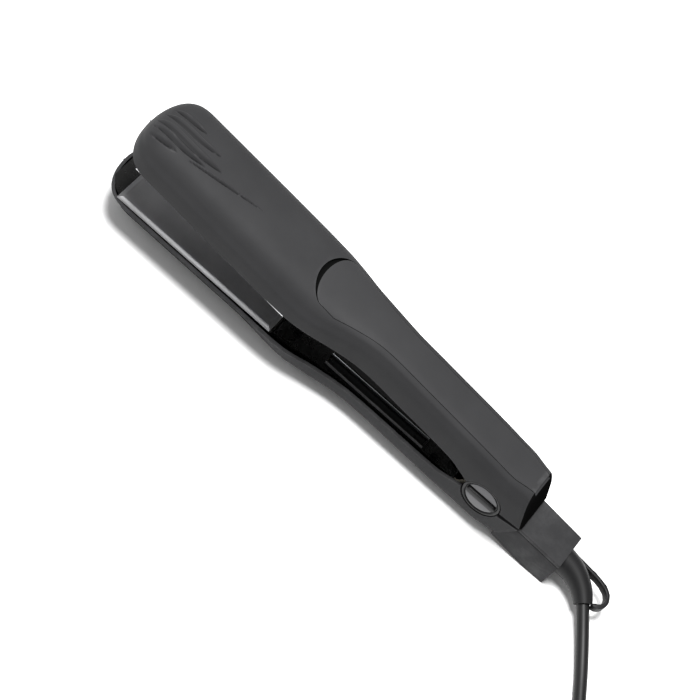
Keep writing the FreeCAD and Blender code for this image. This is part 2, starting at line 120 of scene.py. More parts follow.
def mouldedPlastic(name, base, light, worn, rough, grain, depth, shine=0.22):
    # injection-moulded plastic: spark-eroded grain, faint flow marks, painted shade darkening the hollows and
    # creases, edges rubbed smoother and paler
    material, tree, shader, place = startMaterial(name, IOR=1.5, Specular_IOR_Level=shine)
    flow = addNode(tree, "ShaderNodeTexNoise", {"Scale": 28.0, "Detail": 4.0, "Roughness": 0.55}, {"Vector": place})
    tone = ramp(tree, flow.outputs["Fac"], ((0.32, base), (0.72, light)))
    fine = addNode(tree, "ShaderNodeTexNoise", {"Scale": 1 / (grain * mm), "Detail": 2.0}, {"Vector": place})
    scuff = addNode(tree, "ShaderNodeTexNoise", {"Scale": 120.0, "Detail": 6.0, "Roughness": 0.7}, {"Vector": place})
    edge = addNode(tree, "ShaderNodeNewGeometry").outputs["Pointiness"]
    rub = ramp(tree, edge, ((0.515, 0.0), (0.60, 1.0)))
    patch = ramp(tree, scuff.outputs["Fac"], ((0.42, 0.25), (0.62, 1.0)))
    wear = addNode(tree, "ShaderNodeMath", links={0: rub, 1: patch}, operation="MULTIPLY").outputs[0]
    half = addNode(tree, "ShaderNodeMath", {1: 0.55}, {0: wear}, operation="MULTIPLY").outputs[0]
    # painted shade: concave places (grooves, creases, seams) are darkened towards near black
    hollowShade = ramp(tree, edge, ((0.40, 0.9), (0.492, 0.0)))
    shadedHollows = addNode(tree, "ShaderNodeMix", {"B": colour("#050505")}, {"Factor": hollowShade, "A": tone},
                     data_type="RGBA")
    mixed = addNode(tree, "ShaderNodeMix", {"B": colour(worn)}, {"Factor": half, "A": shadedHollows.outputs["Result"]},
                    data_type="RGBA")
    tree.links.new(mixed.outputs["Result"], shader.inputs["Base Color"])
    spread = addNode(tree, "ShaderNodeMapRange", {"To Min": rough + 0.06, "To Max": rough - 0.08},
                     {"Value": scuff.outputs["Fac"]})
    gloss = addNode(tree, "ShaderNodeMath", {1: -0.16}, {0: wear, 2: spread.outputs["Result"]},
                    operation="MULTIPLY_ADD")
    tree.links.new(gloss.outputs[0], shader.inputs["Roughness"])
    bump = addNode(tree, "ShaderNodeBump", {"Strength": 0.6, "Distance": depth * mm}, {"Height": fine.outputs["Fac"]})
    tree.links.new(bump.outputs["Normal"], shader.inputs["Normal"])
    return material


def satinPlate(name):
    # drawn aluminium under a fired ceramic coat: fine lines along the plate, a dull mottle, a painted highlight along
    # the convex edges
    material, tree, shader, place = startMaterial(name, Metallic=0.55, Coat_Weight=0.2, Coat_Roughness=0.3)
    stretch = addNode(tree, "ShaderNodeMapping", {"Scale": (0.02, 1.0, 1.0)}, {"Vector": place})
    lines = addNode(tree, "ShaderNodeTexNoise", {"Scale": 2600.0, "Detail": 2.0},
                    {"Vector": stretch.outputs["Vector"]})
    mottle = addNode(tree, "ShaderNodeTexNoise", {"Scale": 60.0, "Detail": 5.0}, {"Vector": place})
    tone = ramp(tree, mottle.outputs["Fac"], ((0.3, "#6c6c6e"), (0.7, "#787879")))
    # painted highlight: the convex edges are coloured near white
    edge = ramp(tree, addNode(tree, "ShaderNodeNewGeometry").outputs["Pointiness"], ((0.52, 0.0), (0.58, 1.0)))
    mixed = addNode(tree, "ShaderNodeMix", {"B": colour("#e4e5e6")}, {"Factor": edge, "A": tone}, data_type="RGBA")
    tree.links.new(mixed.outputs["Result"], shader.inputs["Base Color"])
    rough = addNode(tree, "ShaderNodeMapRange", {"To Min": 0.34, "To Max": 0.46}, {"Value": lines.outputs["Fac"]})
    tree.links.new(rough.outputs["Result"], shader.inputs["Roughness"])
    bump = addNode(tree, "ShaderNodeBump", {"Strength": 0.25, "Distance": 0.01 * mm},
                   {"Height": lines.outputs["Fac"]})
    tree.links.new(bump.outputs["Normal"], shader.inputs["Normal"])
    return material


def plainMetal(name, low, high, rough, scratch):
    # turned or pressed metal: tool marks as fine noise, tarnish in patches
    material, tree, shader, place = startMaterial(name, Metallic=1.0)
    marks = addNode(tree, "ShaderNodeTexNoise", {"Scale": scratch, "Detail": 3.0}, {"Vector": place})
    tarnish = addNode(tree, "ShaderNodeTexNoise", {"Scale": 90.0, "Detail": 4.0}, {"Vector": place})
    tree.links.new(ramp(tree, tarnish.outputs["Fac"], ((0.35, low), (0.65, high))), shader.inputs["Base Color"])
    spread = addNode(tree, "ShaderNodeMapRange", {"To Min": rough - 0.08, "To Max": rough + 0.1},
                     {"Value": marks.outputs["Fac"]})
    tree.links.new(spread.outputs["Result"], shader.inputs["Roughness"])
    bump = addNode(tree, "ShaderNodeBump", {"Strength": 0.3, "Distance": 0.02 * mm}, {"Height": marks.outputs["Fac"]})
    tree.links.new(bump.outputs["Normal"], shader.inputs["Normal"])
    return material


def softPart(name, low, high, rough, scale, depth, ior=1.5, shine=0.5):
    # rubber, ceramic, film and board: two close tones and a grain of the size given, in millimetres
    material, tree, shader, place = startMaterial(name, IOR=ior, Specular_IOR_Level=shine)
    grain = addNode(tree, "ShaderNodeTexNoise", {"Scale": 1 / (scale * mm), "Detail": 3.0}, {"Vector": place})
    broad = addNode(tree, "ShaderNodeTexNoise", {"Scale": 45.0, "Detail": 4.0}, {"Vector": place})
    tree.links.new(ramp(tree, broad.outputs["Fac"], ((0.35, low), (0.68, high))), shader.inputs["Base Color"])
    spread = addNode(tree, "ShaderNodeMapRange", {"To Min": rough - 0.07, "To Max": rough + 0.07},
                     {"Value": broad.outputs["Fac"]})
    tree.links.new(spread.outputs["Result"], shader.inputs["Roughness"])
    bump = addNode(tree, "ShaderNodeBump", {"Strength": 0.5, "Distance": depth * mm},
                   {"Height": grain.outputs["Fac"]})
    tree.links.new(bump.outputs["Normal"], shader.inputs["Normal"])
    return material


finish = {
    "housing": mouldedPlastic("softTouchCharcoal", "#2b2b2c", "#303031", "#464647", 0.6, 0.32, 0.03, 0.07),
    "inlay": mouldedPlastic("handleInlayCharcoal", "#2e2e2f", "#333334", "#4a4a4b", 0.55, 0.28, 0.022, 0.08),
    "cover": mouldedPlastic("coverBlackNylon", "#050505", "#090908", "#1c1c1a", 0.30, 0.4, 0.02, 0.4),
    # near black without sheen: painted shade for faces that lie in shadow
    "shadeBlack": mouldedPlastic("paintedShadeMatteBlack", "#0a0a0a", "#0e0e0e", "#161616", 0.85, 0.4, 0.02, 0.0),
    "knob": mouldedPlastic("knobGreyNylon", "#0a0a0b", "#0e0e0f", "#2c2c2c", 0.40, 0.3, 0.02, 0.22),
    "pad": mouldedPlastic("padPaleGrey", "#4e4e50", "#58585a", "#7c7c7c", 0.34, 0.3, 0.015, 0.3),
    "plate": satinPlate("ceramicCoatedAluminium"),
    "ceramic": softPart("heaterAlumina", "#d9d4c8", "#e8e4da", 0.6, 0.2, 0.01, 1.76),
    "film": softPart("amberPolyimide", "#a3621c", "#b8782b", 0.28, 0.6, 0.01, 1.7),
    "steel": plainMetal("zincPlatedSteel", "#9b9ea1", "#b7babd", 0.34, 900.0),
    "blackSteel": plainMetal("blackOxideSteel", "#161617", "#222224", 0.4, 900.0),
    "brass": plainMetal("nickelledBrass", "#b9b2a4", "#cfc8ba", 0.27, 1400.0),
    "silicone": softPart("whiteSilicone", "#c9cac7", "#dadbd8", 0.55, 0.5, 0.01, 1.41),
    "wire": softPart("fibreglassSleeve", "#b7b0a0", "#cbc5b6", 0.75, 0.35, 0.03),
    "rubber": softPart("mattePvcLead", "#0d0d0e", "#131314", 0.46, 0.3, 0.02, 1.53, 0.25),
    "relief": softPart("softPvcSleeve", "#101011", "#161617", 0.48, 0.35, 0.02, 1.53, 0.25),
    "board": softPart("greenCircuitBoard", "#16502f", "#1d6239", 0.4, 0.4, 0.01),
    "lens": softPart("redLightLens", "#8a1512", "#a3201b", 0.15, 0.8, 0.004, 1.49),
}
print("materials mixed:", len(finish))


# shared modelling steps
def addPiece(name, bm, body, material, replaced=(), sharp=38.0):
    bmesh.ops.recalc_face_normals(bm, faces=bm.faces)
    mesh = bpy.data.meshes.new(name)
    bm.to_mesh(mesh)
    bm.free()
    mesh.materials.append(material)
    piece = bpy.data.objects.new(name, mesh)
    scene.collection.objects.link(piece)
    shade(piece, sharp)
    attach(piece, body)
    if replaced:
        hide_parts(*replaced)
    return piece


def shade(piece, sharp):
    for polygon in piece.data.polygons:
        polygon.use_smooth = True
    piece.data.set_sharp_from_angle(angle=math.radians(sharp))


def settle(piece, sharp=38.0):
    # the modifiers so far become the mesh
    depsgraph = bpy.context.evaluated_depsgraph_get()
    mesh = bpy.data.meshes.new_from_object(piece.evaluated_get(depsgraph))
    piece.modifiers.clear()
    piece.data = mesh
    shade(piece, sharp)


def asTool(bm):
    bmesh.ops.recalc_face_normals(bm, faces=bm.faces)
    mesh = bpy.data.meshes.new("tool")
    bm.to_mesh(mesh)
    bm.free()
    tool = bpy.data.objects.new("tool", mesh)
    scene.collection.objects.link(tool)
    return tool


def cutWith(piece, tools, sharp=38.0, how="DIFFERENCE"):
    for tool in tools:
        step = piece.modifiers.new("cut", "BOOLEAN")
        step.operation = how
        step.solver = "EXACT"
        step.object = tool
    settle(piece, sharp)
    for tool in tools:
        bpy.data.objects.remove(tool)
    bm = bmesh.new()
    bm.from_mesh(piece.data)
    bmesh.ops.remove_doubles(bm, verts=bm.verts, dist=0.002 * mm)
    bm.to_mesh(piece.data)
    bm.free()
    shade(piece, sharp)


def wallAndBevel(piece, thick=None, bevel=None, segments=3, angle=50):
    if thick:
        wall = piece.modifiers.new("wall", "SOLIDIFY")
        wall.thickness = thick * mm
        wall.offset = -1
        wall.use_even_offset = False
    if bevel:
        edge = piece.modifiers.new("edge", "BEVEL")
        edge.width = bevel * mm
        edge.segments = segments
        edge.limit_method = "ANGLE"
        edge.angle_limit = math.radians(angle)
        edge.harden_normals = False
    settle(piece)


def rod(bm, start, end, radius, sides=48, far=None):
    line = (Vector(end) - Vector(start)) * mm
    made = bmesh.ops.create_cone(bm, cap_ends=True, segments=sides, radius1=radius * mm,
                                 radius2=(radius if far is None else far) * mm, depth=line.length)
    place = Matrix.Translation(Vector(start) * mm + line / 2) @ line.to_track_quat("Z", "Y").to_matrix().to_4x4()
    bmesh.ops.transform(bm, matrix=place, verts=made["verts"])
    return made["verts"]


def block(bm, low, high, bevel=0.0, segments=2):
    made = bmesh.ops.create_cube(bm, size=1)["verts"]
    low, high = Vector(low) * mm, Vector(high) * mm
    bmesh.ops.scale(bm, vec=high - low, verts=made)
    bmesh.ops.translate(bm, vec=(high + low) / 2, verts=made)
    if bevel:
        edges = list({e for v in made for e in v.link_edges})
        bmesh.ops.bevel(bm, geom=edges, offset=bevel * mm, affect="EDGES", segments=segments, profile=0.5,
                        material=-1)
    return made


def sideForm(bm, outline, y0, y1):
    # an outline in the middle plane, drawn out sideways
    verts = [bm.verts.new(Vector((x, y0, z)) * mm) for x, z in outline]
    start = bm.faces.new(verts)
    grown = bmesh.ops.extrude_face_region(bm, geom=[start])["geom"]
    bmesh.ops.translate(bm, vec=(0, (y1 - y0) * mm, 0), verts=[g for g in grown if isinstance(g, bmesh.types.BMVert)])


def planForm(bm, outline, z0, z1):
    verts = [bm.verts.new(Vector((x, y, z0)) * mm) for x, y in outline]
    start = bm.faces.new(verts)
    grown = bmesh.ops.extrude_face_region(bm, geom=[start])["geom"]
    bmesh.ops.translate(bm, vec=(0, 0, (z1 - z0) * mm), verts=[g for g in grown if isinstance(g, bmesh.types.BMVert)])


def middleOf(edge):
    return (edge.verts[0].co + edge.verts[1].co) / 2


def smoothStep(t):
    t = min(1.0, max(0.0, t))
    return t * t * (3 - 2 * t)


def rounded(points, steps):
    # each corner of an open line becomes a short curve from mid run to mid run
    points = [Vector(p) for p in points]
    line = [points[0]]
    for before, corner, after in zip(points, points[1:], points[2:]):
        first, last = (before + corner) / 2, (corner + after) / 2
        for step in range(steps + 1):
            t = step / steps
            line.append((1 - t) ** 2 * first + 2 * t * (1 - t) * corner + t * t * last)
    return line + [points[-1]]


def spreadOut(line, count, crowd):
    # the same line with its points spaced smoothly, closer together in the middle
    reach = [0.0]
    for a, b in zip(line, line[1:]):
        reach.append(reach[-1] + (b - a).length)
    out, k = [], 0
    for step in range(count):
        share = step / (count - 1)
        target = reach[-1] * (share + crowd * math.sin(2 * math.pi * share) / (2 * math.pi))
        while k < len(line) - 2 and reach[k + 1] < target:
            k += 1
        span = reach[k + 1] - reach[k]
        out.append(line[k].lerp(line[k + 1], (target - reach[k]) / span if span else 0))
    return out


# the mains lead, in millimetres along its axis
lead = {
    "diameter": 6.5,
    "exit": (168.449, -10.002, 9.5),
    "free": [(184.35, -28.9, 3.7), (200.5, -58.0, 3.4), (213.5, -75.0, 3.4), (237.0, -83.5, 3.4),
             (258.0, -85.5, 3.4)],
    "coilCentre": (284.0, -40.0),
    "coilStart": 262.0,
    "turnPoints": 16,
    "levels": [(44.5, 3.4), (38.0, 3.4), (31.5, 3.4), (25.0, 3.4), (28.25, 9.1), (34.75, 9.1), (41.25, 9.1),
               (38.0, 14.8)],
    "climbs": {3: (9, 12), 6: (9, 12)},  # turns that climb a layer, and the points between which they do
    "crossing": 14,                      # from this point of a turn on, it steps over to the next
    "crossingHeight": {4: 10.1, 5: 10.1, 7: 16.4},
    "tail": [(326.5, -34.0, 16.0), (329.5, -20.0, 17.5), (324.5, -6.0, 19.0), (312.0, 2.0, 19.6),
             (297.0, -0.5, 19.6)],
    "length": 1.8,
}


def coilPoints(c):
    count = c["turnPoints"]
    pull = 1 / math.cos(math.pi / count)     # the spline runs this much inside its control points
    points = []
    for turn, (radius, height) in enumerate(c["levels"]):
        last = turn == len(c["levels"]) - 1
        for step in range(5 if last else count):
            r, z = radius, height
            if not last:
                nextRadius, nextHeight = c["levels"][turn + 1]
                if turn in c["climbs"]:
                    first, end = c["climbs"][turn]
                    share = min(1.0, max(0.0, (step - first) / (end - first)))
                    r += (nextRadius - r) * share
                    z += (nextHeight - z) * share ** 0.7
                    if step >= c["crossing"]:
                        z = c["crossingHeight"].get(turn + 1, z)
                elif step >= c["crossing"]:
                    share = (step - c["crossing"] + 1) / (count - c["crossing"] + 1)
                    r += (nextRadius - r) * share
                    z = c["crossingHeight"].get(turn, z)
            angle = math.radians(c["coilStart"] + 360 * step / count)
            points.append((c["coilCentre"][0] + r * pull * math.cos(angle),
                           c["coilCentre"][1] + r * pull * math.sin(angle), z))
    return points


def makeLead(c):
    data = bpy.data.curves.new("mains_lead", "CURVE")
    data.dimensions = "3D"
    data.bevel_depth = c["diameter"] / 2 * mm
    data.bevel_resolution = 5
    data.resolution_u = 6
    data.use_fill_caps = True
    spline = data.splines.new("NURBS")
    route = [c["exit"]] + c["free"] + coilPoints(c) + c["tail"]
    spline.points.add(len(route) - 1)
    for point, (x, y, z) in zip(spline.points, route):
        point.co = (x * mm, y * mm, z * mm, 1)
    spline.order_u = 3
    spline.use_endpoint_u = True
    data.materials.append(finish["rubber"])
    piece = bpy.data.objects.new("mains_lead", data)
    scene.collection.objects.link(piece)
    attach(piece, "lower_arm")
    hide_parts("cord", "cord_coil", "cord_tail")
    return piece


mainsLead = makeLead(lead)
print("lead laid")


# the arms: half width, rim, shoulder and crown at stations along x, heights from the plates' meeting plane
arm = {
    "stations": [(-125.0, 24.5, 3.4, 15.2, 23.6), (-65.0, 24.6, 3.8, 15.8, 24.0), (-33.0, 24.3, 4.7, 15.8, 24.0),
                 (-22.0, 22.8, 5.5, 16.0, 23.6), (-9.0, 19.2, 5.9, 16.2, 23.0), (5.0, 16.2, 6.6, 16.3, 22.5),
                 (17.0, 15.1, 6.8, 16.5, 22.4), (35.0, 15.0, 6.8, 17.0, 22.6), (70.0, 15.0, 6.8, 19.0, 23.8),
                 (79.0, 15.0, 4.4, 19.8, 24.4), (86.0, 15.0, 2.3, 20.4, 24.8), (105.0, 14.9, 2.2, 21.4, 25.4),
                 (116.0, 13.4, 2.2, 21.4, 25.4), (126.0, 12.0, 2.2, 21.0, 25.2)],
    "nose": (-147.0, -125.0),
    "rear": 120.6,
    "endFrom": 99.0,     # the end face behind this is painted black as shade
    "slant": 13.0 / 30,
    "contact": 26.0,
    "hinge": (96.0, 0.0, 26.0),
    "open": 6.6,
    "wall": 1.7,
    "rows": 150,
    "crowd": 0.5,
    "blunt": 0.996,      # how far the nose is drawn towards a point
    "handle": (21.8, 25.8),    # shoulder and crown of the squarer upper handle
    "lean": 0.26,              # how far the lower head draws in below its rim
}


def stationAt(x):
    rows = arm["stations"]
    if x <= rows[0][0]:
        nose, back = arm["nose"]
        w, r, s, t = rows[0][1:]
        share = min(1.0, (back - x) / (back - nose))
        full = 1 - share ** 3
        lift = full ** 0.42
        return w * full ** 0.5, r, r + (s - r) * lift, r + (t - r) * lift
    k = max(i for i in range(len(rows) - 1) if rows[i][0] <= x or i == 0)
    a, b = rows[k], rows[k + 1]
    before, after = rows[max(0, k - 1)], rows[min(len(rows) - 1, k + 2)]
    t = (x - a[0]) / (b[0] - a[0])
    out = []
    for i in range(1, 5):
        m0 = (b[i] - before[i]) / (b[0] - before[0]) * (b[0] - a[0])
        m1 = (after[i] - a[i]) / (after[0] - a[0]) * (b[0] - a[0])
        out.append((2 * t ** 3 - 3 * t ** 2 + 1) * a[i] + (t ** 3 - 2 * t ** 2 + t) * m0
                   + (3 * t ** 2 - 2 * t ** 3) * b[i] + (t ** 3 - t ** 2) * m1)
    return out


def sectionLine(which, x, steps=5):
    # across the arm from rim to rim: side wall, hollow crease, steep shoulder, domed crown
    w, r, s, t = stationAt(x)
    handle = smoothStep((x + 40) / 45)
    crease = (2.5 + 1.2 * handle) * min(1.0, w / 15)
    if which == "upper":
        squarer = smoothStep((x + 28) / 40)
        s += squarer * (arm["handle"][0] - s)
        t += squarer * (arm["handle"][1] - t)
        crease = 2.4 * min(1.0, w / 15)
    k = s + 1.0 * handle * (1 - smoothStep((x - 70) / 30))
    top = t - k
    side = [(w, r), (w - 0.1, r + 0.4 * (k - r)), (w - 0.16 * crease, k - 0.2 * (k - r)), (w - crease, k),
            (min(w - 1.3 * crease, 0.88 * w - 1.2), k + 0.42 * top),
            (0.78 * w - 3.1 * min(1.0, w / 15), t - 0.2 * top), (0.34 * w, t)]
    if which == "lower":
        lean = arm["lean"] * smoothStep(-x / 60) * min(1.0, w / 20)
        side = [(y * (1 - lean * smoothStep((h - r + 2) / 12)), h) for y, h in side]
    points = side + [(-y, h) for y, h in reversed(side)]
    return rounded(points, steps)


topLines = {}


def heightAt(which, x, y):
    # height of the smooth outer surface above a plan point
    key = (which, round(x * 2) / 2)
    if key not in topLines:
        topLines[key] = sectionLine(*key, 8)
    line = topLines[key]
    for a, b in zip(line, line[1:]):
        if b.x <= y <= a.x and a.x - b.x > 1e-9:
            return a.y + (a.x - y) / (a.x - b.x) * (b.y - a.y)
    return line[0].y


def slanted(x, h):
    # the rear ends lean forward with height
    return x - arm["slant"] * h * smoothStep((x - 84) / 36)


upperTurn = (Matrix.Translation(Vector(arm["hinge"])) @ Matrix.Rotation(math.radians(arm["open"]), 4, "Y")
             @ Matrix.Translation(-Vector(arm["hinge"])))


def place(which, x, y, h):
    # arm frame to the object's frame
    if which == "lower":
        return Vector((x, y, arm["contact"] - h)) * mm
    return (upperTurn @ Vector((x, y, arm["contact"] + h))) * mm


grooves = {
    # finger grooves over the tip: centre line in plan, half width and depth
    "lines": [((-142.0, -12.6), (-133.5, -13.9), (-125.5, -12.9), 1.3),
              ((-143.4, -8.0), (-127.0, -9.9), (-110.5, -8.0), 1.6),
              ((-144.0, -4.3), (-124.0, -6.1), (-103.5, -4.1), 1.8),
              ((-142.8, 0.7), (-126.0, 0.0), (-108.9, 2.3), 1.6),
              ((-141.2, 5.5), (-131.2, 5.0), (-121.5, 6.2), 1.3),
              ((-122.0, -12.6), (-105.4, -7.6), (-75.2, -2.3), 0.75)],
    "end": -74.0,
    "depth": 1.5,
    "crest": 0.4,
}


def grooveDepth(x, y):
    deep = 0.0
    for start, middle, end, half in grooves["lines"]:
        if not start[0] < x < end[0]:
            continue
        t = (x - start[0]) / (end[0] - start[0])
        bowed = 2 * middle[1] - (start[1] + end[1]) / 2
        centre = (1 - t) ** 2 * start[1] + 2 * t * (1 - t) * bowed + t * t * end[1]
        width = half * math.sin(math.pi * t ** 0.8) ** 0.7
        if width < 0.05:
            continue
        across = (y - centre) / width
        if -1 < across < 1:
            # near wall short and steep, far wall long
            fall = smoothStep((across + 1) / 0.7) if across < -0.3 else 1 - smoothStep((across + 0.3) / 1.3)
            deep = max(deep, grooves["depth"] * fall * min(1.0, width / 1.1))
        elif 1 <= across < 1.9:
            deep = min(deep, -grooves["crest"] * math.sin(math.pi * (across - 1) / 0.9) * min(1.0, width))
    return deep


def columnsAlong():
    nose, back = arm["nose"]
    xs = [back - (back - nose) * min(arm["blunt"], math.sin(math.pi / 2 * k / 30)) for k in range(29, 0, -1)]
    x = back
    while x < grooves["end"]:
        xs.append(x)
        x += 0.8
    while x < 119.5:
        xs.append(x)
        x += 2.6
    return xs + [arm["rear"]]


def closeEnd(bm, column, centre, steps):
    # an end of the shell is turned in and filled
    edges = [e for e in bm.edges if e.verts[0] in column and e.verts[1] in column]
    for size, along in steps:
        grown = bmesh.ops.extrude_edge_only(bm, edges=edges)["geom"]
        fresh = [g for g in grown if isinstance(g, bmesh.types.BMVert)]
        edges = [g for g in grown if isinstance(g, bmesh.types.BMEdge) and all(v in fresh for v in g.verts)]
        for v in fresh:
            v.co = centre + (v.co - centre) * size + Vector((along * mm, 0, 0))
    ends = [v for v in {v for e in edges for v in e.verts} if sum(e in edges for e in v.link_edges) == 1]
    bmesh.ops.edgenet_fill(bm, edges=edges + [bm.edges.new(ends)])


def skinPiece(bm, which, kind, slot, body, replaced, thick, segments):
    # a skin turned to face outward, given its thickness inward
    outward = place(which, 0, 0, 30) - place(which, 0, 0, 0)
    bmesh.ops.recalc_face_normals(bm, faces=bm.faces)
    crown = max(bm.faces, key=lambda f: f.calc_center_median().dot(outward))
    if crown.normal.dot(outward) < 0:
        bmesh.ops.reverse_faces(bm, faces=bm.faces)
    mesh = bpy.data.meshes.new(f"{which}_{kind}")
    bm.to_mesh(mesh)
    bm.free()
    mesh.materials.append(finish[slot])
    piece = bpy.data.objects.new(f"{which}_{kind}", mesh)
    scene.collection.objects.link(piece)
    wallAndBevel(piece, thick, 0.3, segments, 60)
    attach(piece, body)
    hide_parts(replaced)
    return piece


def makeHousing(which, body):
    rows = arm["rows"]
    xs = columnsAlong()
    lines = []
    for x in xs:
        line = spreadOut(sectionLine(which, x), rows, arm["crowd"])
        shaped = []
        for p in line:
            deep = grooveDepth(x, p.x) if x < grooves["end"] and p.y > 14 else 0.0
            shaped.append(place(which, slanted(x, p.y), p.x, p.y - deep))
        lines.append(shaped)
    bm = bmesh.new()
    bmesh.ops.create_grid(bm, x_segments=len(xs) - 1, y_segments=rows - 1, size=1)
    rear, front = [], []
    for v in bm.verts:
        i = round((v.co.x + 1) / 2 * (len(xs) - 1))
        j = round((v.co.y + 1) / 2 * (rows - 1))
        v.co = lines[i][j]
        if i in (0, len(xs) - 1):
            (rear if i else front).append(v)
    closeEnd(bm, rear, place(which, arm["rear"] - 3.2, 0, 11.5), ((0.965, 0.45), (0.90, 0.65)))
    rim = stationAt(xs[0])[1]
    closeEnd(bm, front, place(which, xs[0], 0, rim), ((0.8, -0.12), (0.4, -0.08)))
    bmesh.ops.remove_doubles(bm, verts=bm.verts, dist=0.02 * mm)
    piece = skinPiece(bm, which, "shell", "housing", body, which + "_housing", arm["wall"], 2)
    mesh = piece.data
    mesh.materials.append(finish["shadeBlack"])
    for polygon in mesh.polygons:
        # the end over the cord block is painted black as shade
        if which == "upper" and polygon.center.x > arm["endFrom"] * mm and polygon.normal.x > 0.5:
            polygon.material_index = 1
    return piece


inlay = {
    "front": -36.0,
    "round": 9.0,
    "half": 15.9,
    "inset": 5.8,
    "gap": 0.16,
    "thick": 1.15,
    "crescent": 2.7,       # width of the hollow in front of the inlay at its middle
    "depth": 1.45,         # of the opening that the inlay sits in
}


def inlayHalf(x):
    return min(inlay["half"], stationAt(x)[0] - inlay["inset"])


def inlayGrid(bm, which, grow, columns, rows, level, front=0.0, rearX=None):
    # a patch that follows the arm's surface, as wide as the inlay and as far back as the rear end
    rearX = rearX or arm["rear"]
    bmesh.ops.create_grid(bm, x_segments=columns, y_segments=rows, size=1)
    for v in list(bm.verts):
        u, across = (v.co.x + 1) / 2, math.sin(math.pi / 2 * v.co.y)
        start = inlay["front"] + inlay["round"] * (1 - math.sqrt(max(0.0, 1 - across ** 2))) - grow
        start -= front * (1 - across ** 2)
        x = start + (rearX - start) * u
        y = across * (inlayHalf(max(x, inlay["front"])) + grow)
        high = heightAt(which, x, y)
        v.co = place(which, slanted(x, high), y, high + level)


def makeInlay(which, body):
    bm = bmesh.new()
    inlayGrid(bm, which, -inlay["gap"], 96, 30, 0.0, rearX=arm["rear"] + 0.3)
    return skinPiece(bm, which, "inlay", "inlay", body, which + "_handle_panel", inlay["thick"], 3)


def inlayTool(which):
    # what is taken out of the shell for the inlay, its upper edge flared to leave a chamfer
    bm = bmesh.new()
    inlayGrid(bm, which, 0.0, 96, 30, -inlay["depth"], front=inlay["crescent"], rearX=arm["rear"] + 4)
    rim = [e for e in bm.edges if e.is_boundary]
    outward = (place(which, 0, 0, 30) - place(which, 0, 0, 0)).normalized()
    middle = place(which, 40, 0, 22)
    for rise, flare in ((inlay["depth"] - 0.24, 0.0), (0.6, 0.5), (4.0, 0.5)):
        grown = bmesh.ops.extrude_edge_only(bm, edges=rim)["geom"]
        fresh = [g for g in grown if isinstance(g, bmesh.types.BMVert)]
        rim = [g for g in grown if isinstance(g, bmesh.types.BMEdge) and all(v in fresh for v in g.verts)]
        for v in fresh:
            aside = Vector((0, v.co.y - middle.y, 0))
            v.co += outward * rise * mm
            if flare and aside.length > 0.5 * mm:
                v.co += aside.normalized() * flare * mm * (0.6 if rise < 1 else 0)
    bmesh.ops.edgenet_fill(bm, edges=rim)
    return asTool(bm)


def wellTools():
    hinge = arm["hinge"]
    tools = []
    for side in (-1, 1):
        bm = bmesh.new()
        rod(bm, (hinge[0], side * 11.8, hinge[2]), (hinge[0], side * 20, hinge[2]), 11.5, 96)
        tools.append(asTool(bm))
    return tools


def paintHollowShade(shell):
    # the hollow in front of the upper inlay gets the near-black material as painted shade
    back = upperTurn.inverted()
    for polygon in shell.data.polygons:
        x, y, z = back @ (polygon.center / mm)
        deep = heightAt("upper", x, y) - (z - arm["contact"])
        if -46 < x < -12 and abs(y) < 17.5 and 0.35 < deep < arm["wall"] - 0.1:
            polygon.material_index = 1


upperShell = makeHousing("upper", "upper_arm")
cutWith(upperShell, [inlayTool("upper")] + wellTools())
paintHollowShade(upperShell)
makeInlay("upper", "upper_arm")
print("upper arm shaped:", len(upperShell.data.polygons), "faces")

switchCut = {"x": (21.3, 34.7), "y": 2.1, "light": 52.0, "lightRadius": 1.95}


def switchTools():
    tools = []
    bm = bmesh.new()
    block(bm, (switchCut["x"][0], -switchCut["y"], -2), (switchCut["x"][1], switchCut["y"], 9), 0.0)
    tools.append(asTool(bm))
    bm = bmesh.new()
    rod(bm, (switchCut["light"], 0, -2), (switchCut["light"], 0, 9), switchCut["lightRadius"], 40)
    tools.append(asTool(bm))
    return tools


cordBlock = {
    "top": [(112.0, 24.9), (147.0, 21.9)],
    "base": [(147.0, 0.0), (134.0, 0.0), (121.0, 2.6), (112.0, 4.4)],
    "half": (11.5, 10.7),
    "lid": 2.6,
    "seam": 0.22,
}


def taperSides(verts, grow=0.0):
    front, rear = cordBlock["half"]
    for v in verts:
        share = (v.co.x / mm - 112) / 35
        v.co.y = math.copysign((front + (rear - front) * share + grow) * mm, v.co.y)


def blockTool():
    bm = bmesh.new()
    outline = [(111.8, 25.2), (150.0, 21.8), (150.0, -2.0), (134.0, -2.0), (121.0, 2.45), (111.8, 4.3)]
    sideForm(bm, outline, -1, 1)
    taperSides(bm.verts, 0.15)
    return asTool(bm)


lowerShell = makeHousing("lower", "lower_arm")
cutWith(lowerShell, [inlayTool("lower")] + wellTools() + switchTools() + [blockTool()])
lowerInlay = makeInlay("lower", "lower_arm")
cutWith(lowerInlay, switchTools() + [blockTool()])
print("lower arm shaped:", len(lowerShell.data.polygons), "faces")


